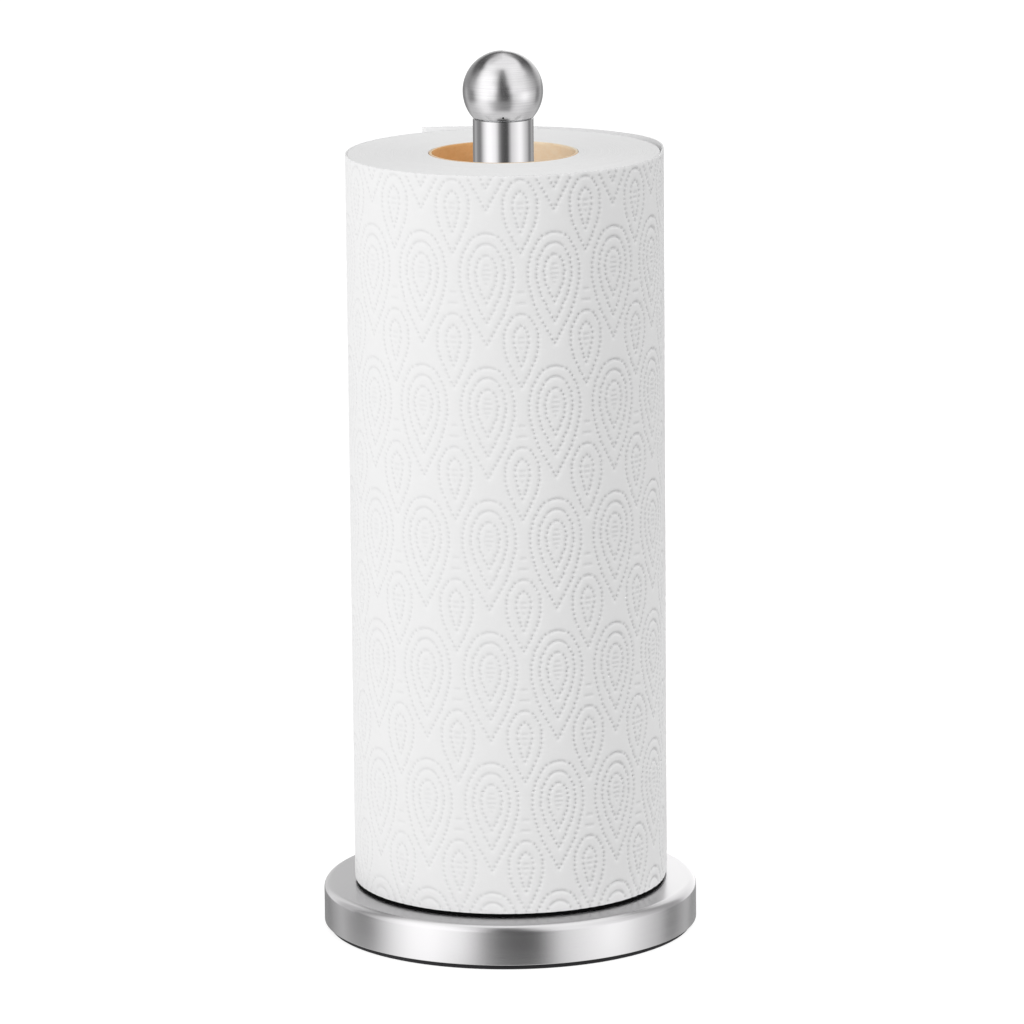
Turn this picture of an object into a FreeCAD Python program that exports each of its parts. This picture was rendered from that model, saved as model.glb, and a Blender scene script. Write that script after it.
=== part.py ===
import FreeCAD, Part
import math
import os
import Sketcher

# Upright paper towel holder with a full roll on it.
# Frame: millimetres, +Z up, origin on the table under the centre of the base, the free
# end of the outer sheet at the back left. Every driving dimension is in the sheet "Dims".

DRIVING = [
    # name, value, what it is
    ("base_radius", 71.3, "outside of the base shell"),
    ("base_top", 17.4, "height of the base's top face"),
    ("shell_wall", 0.8, "drawn stainless sheet"),
    ("shell_lift", 2.0, "gap between the shell's rim and the table"),
    ("shell_round", 3.0, "outer rounding of the shell's top edge"),
    ("shell_hole_radius", 4.25, "clearance hole for the post bolt"),
    ("weight_gap", 0.2, "radial gap between weight and shell"),
    ("weight_low", 3.0, "height of the weight's underside"),
    ("weight_chamfer", 2.6, "top edge of the weight, clear of the shell's rounding"),
    ("recess_radius", 12.0, "bolt recess in the weight's underside"),
    ("recess_depth", 9.0, "depth of the bolt recess"),
    ("foot_pad_radius", 69.6, "outside of the non-slip pad"),
    ("foot_pad_hole", 13.0, "hole in the non-slip pad, over the bolt"),
    ("foot_pad_edge", 0.4, "rounding of the non-slip pad's lower edge"),
    ("roll_pad_radius", 58.9, "outside of the ring under the roll"),
    ("roll_pad_hole", 13.5, "hole of the ring under the roll, round the post"),
    ("roll_pad_thick", 1.2, "thickness of the ring under the roll"),
    ("roll_pad_edge", 0.3, "rounding of its upper edge"),
    ("post_radius", 11.4, "outside of the post tube"),
    ("post_wall", 0.8, "wall of the post tube"),
    ("post_top", 311.0, "height of the tube's upper end"),
    ("post_edge", 0.2, "chamfer of the tube's upper end"),
    ("foot_insert_long", 20.0, "length of the threaded plug in the foot"),
    ("foot_thread_deep", 17.0, "depth of its thread"),
    ("bolt_radius", 4.0, "M8 thread"),
    ("bolt_long", 25.0, "length under the head"),
    ("bolt_head_radius", 6.5, "head of the post bolt"),
    ("bolt_head_high", 5.0, "height of that head"),
    ("bolt_head_edge", 0.5, "chamfer of that head"),
    ("socket_flats", 5.0, "hexagon socket, across flats"),
    ("socket_deep", 3.0, "depth of the socket"),
    ("washer_radius", 8.0, "outside of the flat washer"),
    ("washer_hole", 4.2, "hole of the flat washer"),
    ("washer_thick", 1.6, "thickness of the flat washer"),
    ("spring_radius", 7.4, "outside of the split washer"),
    ("spring_hole", 4.1, "hole of the split washer"),
    ("spring_thick", 2.0, "thickness of the split washer"),
    ("spring_split", 1.2, "width of its split"),
    ("seam_gap", 0.3, "shadow gap between the tube and the ball"),
    ("top_insert_long", 12.0, "length of the threaded plug at the top"),
    ("stud_radius", 3.0, "M6 stud"),
    ("stud_long", 19.0, "length of the stud"),
    ("stud_in_insert", 10.0, "how far the stud goes down into the plug"),
    ("stud_edge", 0.6, "chamfer of the stud's ends"),
    ("ball_radius", 15.08, "outside of the ball"),
    ("ball_wall", 0.8, "wall of the ball"),
    ("boss_radius", 5.0, "threaded boss in the ball"),
    ("boss_high", 12.0, "height of the boss"),
    ("boss_thread_deep", 10.0, "depth of its thread"),
    ("vent_radius", 0.4, "vent hole at the ball's lower front"),
    ("vent_above_seam", 1.3, "height of the vent hole over the ball's flat"),
    ("roll_bottom", 18.7, "height of the roll's underside"),
    ("roll_high", 279.4, "roll height, 11 in"),
    ("core_bore", 27.0, "inner radius of the cardboard core"),
    ("core_wall", 0.9, "cardboard thickness"),
    ("core_gap", 0.3, "radial gap between core and wound paper"),
    ("roll_radius", 58.85, "wound paper, under the outer sheet"),
    ("roll_edge", 0.6, "rounding of the roll's lower edge"),
    ("sheet_gap", 0.15, "gap between the wound paper and the outer sheet on it"),
    ("sheet_thick", 0.5, "embossed two-ply sheet"),
    ("lift_off_deg", -80.0, "where the outer sheet leaves the roll, from +X towards +Y"),
    ("free_end_deg", 115.6, "free end of the outer sheet"),
    ("slack", 1.2, "how far the loose part drifts off over its whole length"),
    ("swing", 5.3, "how far it swings off where it leaves the roll"),
    ("swing_from_deg", -6.0, "where that swing begins"),
    ("swing_to_deg", 38.0, "where that swing ends"),
    ("flare", 6.4, "how far the free end curls outwards on top of that"),
    ("flare_from_deg", 76.0, "where the curl begins"),
]

# Dimensions that follow from the driving ones.
FOLLOWING = [
    ("shell_high", "=base_top - shell_lift"),
    ("shell_inner_radius", "=base_radius - shell_wall"),
    ("weight_radius", "=shell_inner_radius - weight_gap"),
    ("weight_high", "=base_top - shell_wall - weight_low"),
    ("post_bore", "=post_radius - post_wall"),
    ("post_long", "=post_top - base_top"),
    ("recess_roof", "=weight_low + recess_depth"),
    ("washer_low", "=recess_roof - washer_thick"),
    ("spring_low", "=washer_low - spring_thick"),
    ("split_high", "=spring_split / 2"),
    ("split_low", "=0 - split_high"),
    ("split_reach", "=spring_radius + spring_split"),
    ("head_low", "=spring_low - bolt_head_high"),
    ("bolt_reach", "=bolt_head_high + bolt_long"),
    ("ball_flat", "=post_top + seam_gap"),
    ("ball_drop", "=sqrt(ball_radius ^ 2 - post_radius ^ 2)"),
    ("ball_centre", "=ball_flat + ball_drop"),
    ("ball_inner_radius", "=ball_radius - ball_wall"),
    ("ball_inner_drop", "=ball_drop - ball_wall"),
    ("ball_cut_deg", "=0 - asin(ball_drop / ball_radius) / 1deg"),
    ("ball_inner_cut_deg", "=0 - asin(ball_inner_drop / ball_inner_radius) / 1deg"),
    ("vent_height", "=ball_flat + vent_above_seam"),
    ("top_insert_low", "=ball_flat - top_insert_long"),
    ("stud_low", "=ball_flat - stud_in_insert"),
    ("core_radius", "=core_bore + core_wall"),
    ("paper_bore", "=core_radius + core_gap"),
    ("sheet_inner", "=roll_radius + sheet_gap"),
    ("sheet_outer", "=sheet_inner + sheet_thick"),
]

LOOSE_STEPS = 32        # points along the loose part of the outer sheet
SAME = 1e-4             # mm within which two lengths or heights are the same

WORK_PLANES = {"top": "XY_Plane", "front": "XZ_Plane"}

doc = FreeCAD.newDocument("PaperTowelHolder")
sheet = doc.addObject("Spreadsheet::Sheet", "Dims")


def fill_sheet():
    """Write each dimension as name, value and note, and give its cell the name."""
    row = 1
    for name, value, note in DRIVING:
        sheet.set(f"A{row}", name)
        sheet.set(f"B{row}", str(value))
        sheet.set(f"C{row}", note)
        sheet.setAlias(f"B{row}", name)
        row += 1
    for name, formula in FOLLOWING:
        sheet.set(f"A{row}", name)
        sheet.set(f"B{row}", formula)
        sheet.setAlias(f"B{row}", name)
        row += 1
    doc.recompute()


def dim(name):
    """The value of one cell, for geometry that has no expressions of its own."""
    return float(sheet.get(name))


def new_body(label, height=None):
    """An empty body, standing at the height that the sheet's cell `height` gives."""
    body = doc.addObject("PartDesign::Body", label)
    body.Label = label
    if height:
        body.setExpression("Placement.Base.z", f"Dims.{height}")
    return body


def new_sketch(body, name, plane="top", height=None):
    """A sketch on one of the body's own origin planes, raised by the cell `height`."""
    sketch = body.newObject("Sketcher::SketchObject", name)
    origin = [f for f in body.Origin.OriginFeatures if f.Role == WORK_PLANES[plane]]
    sketch.AttachmentSupport = [(origin[0], "")]
    sketch.MapMode = "FlatFace"
    if height:
        sketch.setExpression("AttachmentOffset.Base.z", f"Dims.{height}")
    return sketch


def bind(sketch, constraint, name, formula):
    """Add a constraint, name it and drive it by a formula of the sheet's cells."""
    index = sketch.addConstraint(constraint)
    sketch.renameConstraint(index, name)
    sketch.setExpression(f"Constraints.{name}", formula)


def add_circle(sketch, name, radius):
    """A circle round the origin whose radius is the cell `radius`."""
    up = FreeCAD.Vector(0, 0, 1)
    circle = sketch.addGeometry(Part.Circle(FreeCAD.Vector(), up, dim(radius)), False)
    sketch.addConstraint(Sketcher.Constraint("Coincident", circle, 3, -1, 1))
    bind(sketch, Sketcher.Constraint("Radius", circle, dim(radius)), name, f"Dims.{radius}")


def add_outline(sketch, corners):
    """A closed outline of straight lines through corners given as pairs of cell names."""
    values = [[dim(c) if c else 0.0 for c in corner] for corner in corners]
    points = [FreeCAD.Vector(x, y, 0) for x, y in values]
    count = len(points)
    for i in range(count):
        sketch.addGeometry(Part.LineSegment(points[i], points[(i + 1) % count]), False)
    for i in range(count):
        sketch.addConstraint(Sketcher.Constraint("Coincident", i, 2, (i + 1) % count, 1))
    for i, (across, along) in enumerate(corners):
        bind_coordinate(sketch, "DistanceX", i, across, f"across_{i}")
        bind_coordinate(sketch, "DistanceY", i, along, f"along_{i}")


def bind_coordinate(sketch, kind, line, cell, name):
    """Hold one coordinate of a line's first point at a cell's value, or on the axis."""
    if cell:
        value = dim(cell)
        bind(sketch, Sketcher.Constraint(kind, -1, 1, line, 1, value), name, f"Dims.{cell}")
    else:
        axis = -2 if kind == "DistanceX" else -1
        sketch.addConstraint(Sketcher.Constraint("PointOnObject", line, 1, axis))


def add_hexagon(sketch, flats):
    """A hexagon round the origin, its width across flats in the cell `flats`."""
    corner = dim(flats) / math.sqrt(3)
    turns = [math.radians(60 * i) for i in range(6)]
    points = [FreeCAD.Vector(corner * math.cos(a), corner * math.sin(a), 0) for a in turns]
    for i in range(6):
        sketch.addGeometry(Part.LineSegment(points[i], points[(i + 1) % 6]), False)
    rim = sketch.addGeometry(Part.Circle(FreeCAD.Vector(), FreeCAD.Vector(0, 0, 1), corner), True)
    sketch.addConstraint(Sketcher.Constraint("Coincident", rim, 3, -1, 1))
    for i in range(6):
        sketch.addConstraint(Sketcher.Constraint("Coincident", i, 2, (i + 1) % 6, 1))
        sketch.addConstraint(Sketcher.Constraint("PointOnObject", i, 1, rim))
    for i in range(1, 6):
        sketch.addConstraint(Sketcher.Constraint("Equal", 0, i))
    sketch.addConstraint(Sketcher.Constraint("PointOnObject", 0, 1, -1))
    formula = f"Dims.{flats} / sqrt(3)"
    bind(sketch, Sketcher.Constraint("Radius", rim, corner), "corner", formula)


def add_pad(body, sketch, length):
    """Extrude a sketch upwards by the cell `length`."""
    pad = body.newObject("PartDesign::Pad", sketch.Name + "Pad")
    pad.Profile = sketch
    pad.setExpression("Length", f"Dims.{length}")
    doc.recompute()
    return pad


def add_pocket(body, sketch, depth, upwards):
    """Cut a sketch into the body by the cell `depth`, and see that it removed something."""
    before = body.Shape.Volume
    pocket = body.newObject("PartDesign::Pocket", sketch.Name + "Pocket")
    pocket.Profile = sketch
    pocket.Reversed = upwards
    pocket.setExpression("Length", f"Dims.{depth}")
    doc.recompute()
    if body.Shape.Volume >= before:
        raise RuntimeError(f"{pocket.Name} cuts nothing")


def add_revolution(body, sketch):
    """Turn a sketch on the front plane once round the vertical axis."""
    turn = body.newObject("PartDesign::Revolution", sketch.Name + "Turn")
    turn.Profile = sketch
    turn.ReferenceAxis = (sketch, ["V_Axis"])
    doc.recompute()


def round_edges_at(body, radius, height):
    """The names of the body's round edges at a radius and a height of its own frame."""
    shape = body.Tip.Shape
    found = []
    for i, edge in enumerate(shape.Edges, 1):
        if isinstance(edge.Curve, Part.Circle):
            right_size = abs(edge.Curve.Radius - radius) < SAME
            if right_size and abs(edge.Curve.Center.z - height) < SAME:
                found.append(f"Edge{i}")
    if not found:
        raise RuntimeError(f"{body.Label} has no round edge of {radius} at {height}")
    return found


def flat_face_at(body, height):
    """The name of the body's flat level face at a height of its own frame."""
    for i, face in enumerate(body.Tip.Shape.Faces, 1):
        level = isinstance(face.Surface, Part.Plane) and face.BoundBox.ZLength < SAME
        if level and abs(face.BoundBox.ZMin - height) < SAME:
            return f"Face{i}"
    raise RuntimeError(f"{body.Label} has no level face at {height}")


def dress(body, kind, edges, size):
    """Fillet or chamfer some of the body's edges by the cell `size`."""
    base = body.Tip
    feature = body.newObject(f"PartDesign::{kind}", f"{body.Name}{kind}")
    feature.Base = (base, edges)
    feature.setExpression("Radius" if kind == "Fillet" else "Size", f"Dims.{size}")
    doc.recompute()


def ring(label, height, outer, inner, thick):
    """A flat ring or tube: two circles, extruded."""
    body = new_body(label, height)
    sketch = new_sketch(body, f"{label}Outline")
    add_circle(sketch, "outer", outer)
    if inner:
        add_circle(sketch, "inner", inner)
    add_pad(body, sketch, thick)
    return body


def make_base_shell():
    """Drawn stainless cover: an upside-down pan with a bolt hole in the middle."""
    body = ring("base_shell", "shell_lift", "base_radius", None, "shell_high")
    rim = round_edges_at(body, dim("base_radius"), dim("shell_high"))
    dress(body, "Fillet", rim, "shell_round")
    domed = body.Tip
    underside = flat_face_at(body, 0.0)
    hollow = body.newObject("PartDesign::Thickness", "ShellHollow")
    hollow.Base = (domed, [underside])
    hollow.Reversed = True
    hollow.setExpression("Value", "Dims.shell_wall")
    doc.recompute()
    bolt_hole = new_sketch(body, "ShellBoltHole")
    add_circle(bolt_hole, "bolt_hole", "shell_hole_radius")
    add_pocket(body, bolt_hole, "base_top", True)
    return body


def make_base_weight():
    """Cast iron disc with a stepped hole: bolt clearance above, recess below."""
    body = new_body("base_weight", "weight_low")
    sketch = new_sketch(body, "WeightProfile", "front")
    corners = [
        ("shell_hole_radius", "recess_depth"),
        ("recess_radius", "recess_depth"),
        ("recess_radius", None),
        ("weight_radius", None),
        ("weight_radius", "weight_high"),
        ("shell_hole_radius", "weight_high"),
    ]
    add_outline(sketch, corners)
    add_revolution(body, sketch)
    rim = round_edges_at(body, dim("weight_radius"), dim("weight_high"))
    dress(body, "Chamfer", rim, "weight_chamfer")
    return body


def make_non_slip_pad():
    """Pad under the base, let into the shell's rim, open over the bolt."""
    body = ring("non_slip_pad", None, "foot_pad_radius", "foot_pad_hole", "weight_low")
    rim = round_edges_at(body, dim("foot_pad_radius"), 0.0)
    dress(body, "Fillet", rim, "foot_pad_edge")
    return body


def make_roll_pad():
    """Thin ring stuck on the base, which the roll stands on."""
    body = ring("roll_pad", "base_top", "roll_pad_radius", "roll_pad_hole", "roll_pad_thick")
    rim = round_edges_at(body, dim("roll_pad_radius"), dim("roll_pad_thick"))
    dress(body, "Fillet", rim, "roll_pad_edge")
    return body


def make_post_tube():
    """Stainless tube that stands on the shell."""
    body = ring("post_tube", "base_top", "post_radius", "post_bore", "post_long")
    rim = round_edges_at(body, dim("post_radius"), dim("post_long"))
    dress(body, "Chamfer", rim, "post_edge")
    return body


def make_foot_insert():
    """Plug pressed into the foot of the tube, threaded from below for the post bolt."""
    body = ring("foot_insert", "base_top", "post_bore", None, "foot_insert_long")
    thread = new_sketch(body, "FootThread")
    add_circle(thread, "thread", "bolt_radius")
    add_pocket(body, thread, "foot_thread_deep", True)
    return body


def make_post_bolt():
    """Socket-head bolt that clamps the weight, the shell and the post together."""
    body = ring("post_bolt", "head_low", "bolt_head_radius", None, "bolt_head_high")
    shank = new_sketch(body, "BoltShank")
    add_circle(shank, "shank", "bolt_radius")
    add_pad(body, shank, "bolt_reach")
    socket = new_sketch(body, "BoltSocket")
    add_hexagon(socket, "socket_flats")
    add_pocket(body, socket, "socket_deep", True)
    rim = round_edges_at(body, dim("bolt_head_radius"), 0.0)
    dress(body, "Chamfer", rim, "bolt_head_edge")
    return body


def make_bolt_lock_washer():
    """Spring washer, split on one side."""
    body = ring("bolt_lock_washer", "spring_low", "spring_radius", "spring_hole", "spring_thick")
    split = new_sketch(body, "WasherSplit")
    corners = [
        (None, "split_low"),
        ("split_reach", "split_low"),
        ("split_reach", "split_high"),
        (None, "split_high"),
    ]
    add_outline(split, corners)
    add_pocket(body, split, "spring_thick", True)
    return body


def make_top_insert():
    """Plug pressed into the top of the tube; it carries the ball on its stud."""
    body = ring("top_insert", "top_insert_low", "post_bore", None, "top_insert_long")
    thread = new_sketch(body, "TopThread")
    add_circle(thread, "thread", "stud_radius")
    add_pocket(body, thread, "top_insert_long", True)
    return body


def make_finial_stud():
    """Threaded stud between the top plug and the ball's boss."""
    body = ring("finial_stud", "stud_low", "stud_radius", None, "stud_long")
    ends = round_edges_at(body, dim("stud_radius"), 0.0)
    ends += round_edges_at(body, dim("stud_radius"), dim("stud_long"))
    dress(body, "Chamfer", ends, "stud_edge")
    return body


def make_ball_boss():
    """Threaded boss welded into the ball's flat."""
    body = ring("ball_boss", "ball_flat", "boss_radius", None, "boss_high")
    thread = new_sketch(body, "BossThread")
    add_circle(thread, "thread", "stud_radius")
    add_pocket(body, thread, "boss_thread_deep", True)
    return body


def cut_sphere(name, radius, low_angle):
    """A sphere at the ball's centre, cut off flat at a latitude given in degrees."""
    ball = doc.addObject("Part::Sphere", name)
    ball.setExpression("Radius", f"Dims.{radius}")
    ball.setExpression("Angle1", f"Dims.{low_angle}")
    ball.setExpression("Placement.Base.z", "Dims.ball_centre")
    return ball


def make_finial_ball():
    """Hollow ball with a flat that has the boss's hole in it and a vent hole beside it."""
    outside = cut_sphere("BallOutside", "ball_radius", "ball_cut_deg")
    inside = cut_sphere("BallInside", "ball_inner_radius", "ball_inner_cut_deg")
    hollow = doc.addObject("Part::Cut", "BallHollow")
    hollow.Base = outside
    hollow.Tool = inside
    seat = doc.addObject("Part::Cylinder", "BossSeat")
    seat.setExpression("Radius", "Dims.boss_radius")
    seat.setExpression("Height", "Dims.ball_wall * 2")
    seat.setExpression("Placement.Base.z", "Dims.ball_flat - Dims.ball_wall / 2")
    seated = doc.addObject("Part::Cut", "BallSeated")
    seated.Base = hollow
    seated.Tool = seat
    vent = doc.addObject("Part::Cylinder", "Vent")
    vent.setExpression("Radius", "Dims.vent_radius")
    vent.setExpression("Height", "Dims.ball_radius")
    facing_front = FreeCAD.Rotation(FreeCAD.Vector(1, 0, 0), 90)
    vent.Placement = FreeCAD.Placement(FreeCAD.Vector(), facing_front)
    vent.setExpression("Placement.Base.z", "Dims.vent_height")
    ball = doc.addObject("Part::Cut", "finial_ball")
    ball.Label = "finial_ball"
    ball.Base = seated
    ball.Tool = vent
    doc.recompute()
    return ball


def make_roll_paper():
    """The wound paper, a thick tube with a slightly worn lower edge."""
    body = ring("roll_paper", "roll_bottom", "roll_radius", "paper_bore", "roll_high")
    rim = round_edges_at(body, dim("roll_radius"), 0.0)
    dress(body, "Fillet", rim, "roll_edge")
    return body


def on_circle(angle, radius):
    """The point at an angle in degrees and a radius, seen from above."""
    turn = math.radians(angle)
    return FreeCAD.Vector(radius * math.cos(turn), radius * math.sin(turn), 0)


def stand_off(angle):
    """How far the loose part stands off its circle at an angle: drift, swing and curl."""
    start = dim("lift_off_deg")
    end = dim("free_end_deg")
    drift = (angle - start) / (end - start)
    turn = (angle - dim("swing_from_deg")) / (dim("swing_to_deg") - dim("swing_from_deg"))
    turn = min(max(turn, 0.0), 1.0)
    curl = max(angle - dim("flare_from_deg"), 0.0) / (end - dim("flare_from_deg"))
    swing = dim("swing") * turn * turn * (3 - 2 * turn)
    return dim("slack") * drift ** 2 + swing + dim("flare") * curl ** 3


def loose_curve(radius):
    """The loose part of one face of the sheet: a spline that leaves the circle smoothly."""
    start = dim("lift_off_deg")
    step = (dim("free_end_deg") - start) / LOOSE_STEPS
    angles = [start + step * i for i in range(LOOSE_STEPS + 1)]
    points = [on_circle(angle, radius + stand_off(angle)) for angle in angles]
    curve = Part.BSplineCurve()
    curve.interpolate(points)
    return curve.toShape()


def bonded_arc(radius):
    """The part of one face of the sheet that lies on the roll."""
    start = dim("free_end_deg") - 360
    end = dim("lift_off_deg")
    middle = on_circle((start + end) / 2, radius)
    return Part.Arc(on_circle(start, radius), middle, on_circle(end, radius)).toShape()


def make_outer_sheet():
    """The last turn of the paper: on the roll at the left, loose and off it at the back."""
    inner = dim("sheet_inner")
    outer = dim("sheet_outer")
    covered_end = Part.makeLine(
        on_circle(dim("free_end_deg"), inner),
        on_circle(dim("free_end_deg"), outer),
    )
    free_end = Part.makeLine(
        on_circle(dim("free_end_deg"), inner + stand_off(dim("free_end_deg"))),
        on_circle(dim("free_end_deg"), outer + stand_off(dim("free_end_deg"))),
    )
    edges = [bonded_arc(inner), loose_curve(inner), free_end]
    edges += [loose_curve(outer), bonded_arc(outer), covered_end]
    outline = Part.Wire(Part.__sortEdges__(edges))
    solid = Part.Face(outline).extrude(FreeCAD.Vector(0, 0, dim("roll_high")))
    last_turn = doc.addObject("Part::Feature", "outer_sheet")
    last_turn.Label = "outer_sheet"
    last_turn.Shape = solid
    last_turn.Placement.Base = FreeCAD.Vector(0, 0, dim("roll_bottom"))
    return last_turn


def make_parts():
    """Every sub-part, from the table up."""
    return [
        make_non_slip_pad(),
        make_base_weight(),
        make_base_shell(),
        make_roll_pad(),
        make_post_tube(),
        make_foot_insert(),
        make_post_bolt(),
        ring("bolt_washer", "washer_low", "washer_radius", "washer_hole", "washer_thick"),
        make_bolt_lock_washer(),
        make_top_insert(),
        make_finial_stud(),
        make_finial_ball(),
        make_ball_boss(),
        ring("roll_core", "roll_bottom", "core_radius", "core_bore", "roll_high"),
        make_roll_paper(),
        make_outer_sheet(),
    ]


def check_and_write(parts):
    """Stop at any failed object or bad shape, then write one STEP file for each sub-part."""
    failed = [o.Label for o in doc.Objects if {"Invalid", "Error"} & set(o.State)]
    if failed:
        raise RuntimeError(f"failed objects: {failed}")
    for part in parts:
        shape = part.Shape
        if shape.isNull() or not shape.isValid() or len(shape.Solids) != 1:
            raise RuntimeError(f"{part.Label} is not one valid solid")
    os.makedirs("parts", exist_ok=True)
    for part in parts:
        part.Shape.exportStep(f"parts/{part.Label}.step")
        box = part.Shape.BoundBox
        volume = part.Shape.Volume / 1000
        print(f"{part.Label:18s} {volume:9.2f} cm3  z {box.ZMin:.2f} to {box.ZMax:.2f}")


fill_sheet()
all_parts = make_parts()
doc.recompute()
check_and_write(all_parts)
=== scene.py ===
"""Looks of a countertop paper towel holder: steel base, post and ball, with an embossed roll on its core."""

import math

import bmesh
import bpy
import numpy as np
from mathutils import Matrix, Vector


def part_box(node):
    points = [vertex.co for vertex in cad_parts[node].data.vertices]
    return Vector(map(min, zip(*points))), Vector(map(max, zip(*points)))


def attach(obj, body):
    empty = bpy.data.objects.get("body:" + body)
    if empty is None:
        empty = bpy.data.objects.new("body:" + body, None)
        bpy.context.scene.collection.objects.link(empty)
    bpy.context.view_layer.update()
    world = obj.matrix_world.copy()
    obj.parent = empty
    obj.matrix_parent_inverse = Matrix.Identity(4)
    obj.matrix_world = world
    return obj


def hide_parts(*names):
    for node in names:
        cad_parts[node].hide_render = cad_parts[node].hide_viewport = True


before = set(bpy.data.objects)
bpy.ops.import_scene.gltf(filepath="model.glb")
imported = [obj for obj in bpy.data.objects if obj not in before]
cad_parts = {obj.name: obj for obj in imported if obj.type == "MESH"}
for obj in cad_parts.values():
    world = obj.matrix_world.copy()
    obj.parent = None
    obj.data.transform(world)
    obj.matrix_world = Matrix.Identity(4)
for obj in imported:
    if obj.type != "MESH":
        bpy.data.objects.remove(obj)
bpy.context.view_layer.update()

MM = 0.001
rng = np.random.default_rng(7)


# ---------------------------------------------------------------- camera

CAMERA_PLACE = (0.0, -2.4029, 0.6656)
CAMERA_LENS, CAMERA_SENSOR = 227.7, 36.0
CAMERA_YAW, CAMERA_PITCH, CAMERA_ROLL = (math.radians(a) for a in (0.047, 11.88, -0.526))


def make_camera():
    """The camera, in front of the holder and a little above it, with a long lens."""
    data = bpy.data.cameras.new("camera")
    data.lens = CAMERA_LENS
    data.sensor_width = CAMERA_SENSOR
    data.clip_start, data.clip_end = 0.1, 50.0
    camera = bpy.data.objects.new("camera", data)
    bpy.context.scene.collection.objects.link(camera)
    forward = Vector((
        math.sin(CAMERA_YAW) * math.cos(CAMERA_PITCH),
        math.cos(CAMERA_YAW) * math.cos(CAMERA_PITCH),
        -math.sin(CAMERA_PITCH),
    ))
    level = Vector((math.cos(CAMERA_YAW), -math.sin(CAMERA_YAW), 0.0))
    upright = level.cross(forward)
    right = level * math.cos(CAMERA_ROLL) + upright * math.sin(CAMERA_ROLL)
    up = upright * math.cos(CAMERA_ROLL) - level * math.sin(CAMERA_ROLL)
    turn = Matrix((right, up, -forward)).transposed()
    camera.matrix_world = Matrix.Translation(CAMERA_PLACE) @ turn.to_4x4()
    bpy.context.scene.camera = camera


make_camera()


# ---------------------------------------------------------------- node helpers


def node(tree, kind, inputs=None, **settings):
    """Adds one node; a socket in inputs is linked, anything else is set as the input's value."""
    made = tree.nodes.new(kind)
    for key, value in settings.items():
        setattr(made, key, value)
    for key, value in (inputs or {}).items():
        if isinstance(value, bpy.types.NodeSocket):
            tree.links.new(value, made.inputs[key])
        else:
            made.inputs[key].default_value = value
    return made


def maths(tree, operation, first, second=0.0, clamp=False):
    """The result of one Math node."""
    made = node(tree, "ShaderNodeMath", {0: first, 1: second}, operation=operation)
    made.use_clamp = clamp
    return made.outputs[0]


def remap(tree, value, low, high, to_low, to_high, smooth=False):
    """value taken from low..high to to_low..to_high."""
    kind = "SMOOTHSTEP" if smooth else "LINEAR"
    made = node(tree, "ShaderNodeMapRange", {
        "Value": value, "From Min": low, "From Max": high, "To Min": to_low, "To Max": to_high,
    }, interpolation_type=kind)
    return made.outputs["Result"]


def grey(value):
    return (value, value, value, 1.0)


# ---------------------------------------------------------------- studio

# Brightness that polished metal sees by azimuth in degrees, 0 toward the front and 90 to the right.
STUDIO_DEEP = [
    (-180, 0.40), (-150, 0.40), (-129, 0.44), (-105, 0.53), (-87, 0.68), (-70, 0.80), (-53, 0.78),
    (-38, 0.56), (-24, 0.36), (-7, 0.25), (7, 0.22), (22, 0.25), (32, 0.48), (43, 0.63), (56, 0.66),
    (70, 0.64), (87, 0.56), (105, 0.46), (129, 0.42), (150, 0.40), (180, 0.40),
]
STUDIO_LOW = [
    (-180, 0.17), (-150, 0.17), (-128, 0.38), (-116, 0.25), (-105, 0.20), (-96, 0.22), (-88, 0.42),
    (-77, 0.73), (-64, 0.97), (-50, 1.02), (-31, 0.86), (-23, 0.64), (-15, 0.28), (-6, 0.12),
    (3, 0.08), (11, 0.07), (17, 0.10), (24, 0.34), (32, 0.62), (42, 0.73), (52, 0.83), (64, 0.94),
    (74, 0.88), (84, 0.70), (95, 0.54), (105, 0.42), (114, 0.21), (121, 0.19), (130, 0.28),
    (140, 0.36), (150, 0.21), (180, 0.21),
]
STUDIO_EYE = [
    (-180, 0.38), (-172, 0.36), (-163, 0.28), (-145, 0.25), (-118, 0.23), (-100, 0.34), (-90, 0.50),
    (-81, 0.70), (-70, 0.94), (-56, 1.04), (-29, 0.98), (-20, 0.69), (-13, 0.30), (-6, 0.10),
    (9, 0.09), (16, 0.20), (23, 0.58), (31, 0.80), (53, 0.80), (67, 0.74), (84, 0.56), (100, 0.40),
    (118, 0.26), (132, 0.34), (145, 0.44), (163, 0.50), (172, 0.60), (176, 0.70), (180, 0.70),
]
STUDIO_RISE = [
    (-180, 0.10), (-168, 0.08), (-145, 0.08), (-121, 0.12), (-100, 0.30), (-91, 0.55), (-82, 0.82),
    (-68, 1.02), (-39, 0.98), (-24, 0.70), (-13, 0.30), (-6, 0.10), (6, 0.13), (13, 0.34), (24, 0.70),
    (39, 0.80), (54, 0.74), (68, 0.72), (82, 0.60), (100, 0.36), (121, 0.18), (145, 0.07),
    (168, 0.10), (180, 0.12),
]
STUDIO_HIGH = [
    (-180, 0.62), (-172, 0.42), (-160, 0.14), (-137, 0.07), (-120, 0.08), (-108, 0.18), (-95, 0.64),
    (-82, 0.90), (-60, 0.98), (-39, 0.94), (-24, 0.69), (-14, 0.34), (-8, 0.14), (8, 0.18),
    (14, 0.40), (24, 0.69), (39, 0.79), (68, 0.75), (82, 0.73), (95, 0.64), (108, 0.34), (121, 0.16),
    (137, 0.09), (160, 0.18), (172, 0.45), (180, 0.68),
]
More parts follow.
